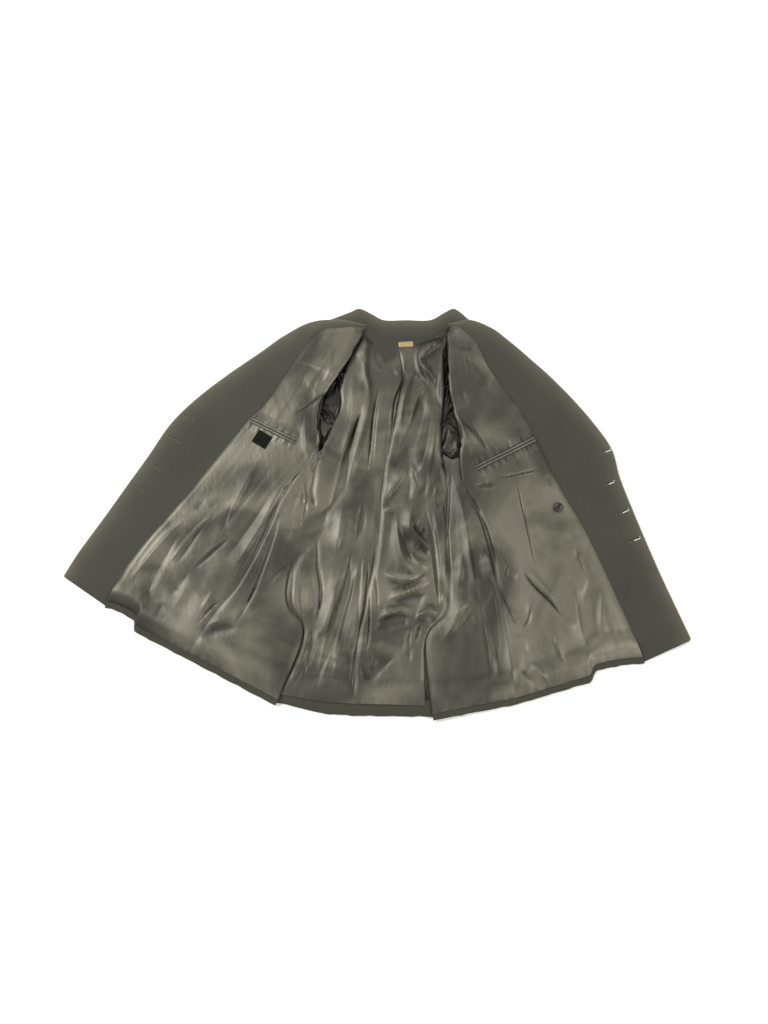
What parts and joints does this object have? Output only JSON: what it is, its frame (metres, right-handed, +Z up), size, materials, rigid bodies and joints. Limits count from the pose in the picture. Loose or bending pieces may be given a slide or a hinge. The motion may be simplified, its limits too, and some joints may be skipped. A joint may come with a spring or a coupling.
{
  "type": "service dress jacket",
  "caption": "Double-breasted dress jacket in dark wool, laid open on its back with its satin lining, inner pockets and turned-under lapels showing.",
  "frame": {"origin": "bottom centre of the laid jacket's bounding box, on the surface that it lies on", "axes": "+Z up from the surface, +Y toward the neck, +X toward the wearer's left front, which lies at the viewer's right"},
  "size_m": [1.239, 0.8376, 0.0293],
  "materials": {
    "wool_shell": "dark wool serge, matt",
    "wool_facing": "dark wool serge, matt",
    "satin_lining": "grey-olive satin, soft sheen",
    "satin_piping": "grey-olive satin piping",
    "black_label": "black woven label, bare",
    "cream_label": "cream woven label with orange borders, bare",
    "brass_button": "plain domed brass",
    "dark_button": "dark four-hole button"
  },
  "bodies": {
    "root": {"back_left": "wool_shell", "back_lining_left": "satin_lining", "back_lining_right": "satin_lining", "back_right": "wool_shell", "collar": "wool_facing", "facing_left": "wool_facing", "facing_right": "wool_facing", "front_button_left_1": "brass_button", "front_button_left_2": "brass_button", "front_button_left_3": "brass_button", "front_button_left_4": "brass_button", "front_button_right_1": "brass_button", "front_button_right_2": "brass_button", "front_button_right_3": "brass_button", "front_button_right_4": "brass_button", "front_left": "wool_shell", "front_lining_left": "satin_lining", "front_lining_right": "satin_lining", "front_right": "wool_shell", "inner_button": "dark_button", "neck_facing": "wool_facing", "neck_label": "cream_label", "pocket_label": "black_label", "pocket_welt_lower_left": "satin_piping", "pocket_welt_lower_right": "satin_piping", "pocket_welt_upper_left": "satin_piping", "pocket_welt_upper_right": "satin_piping", "side_left": "wool_shell", "side_lining_left": "satin_lining", "side_lining_right": "satin_lining", "side_right": "wool_shell", "sleeve_lining_left": "satin_lining", "sleeve_lining_right": "satin_lining", "top_sleeve_left": "wool_shell", "top_sleeve_right": "wool_shell", "under_sleeve_left": "wool_shell", "under_sleeve_right": "wool_shell"}
  },
  "joints": []
}
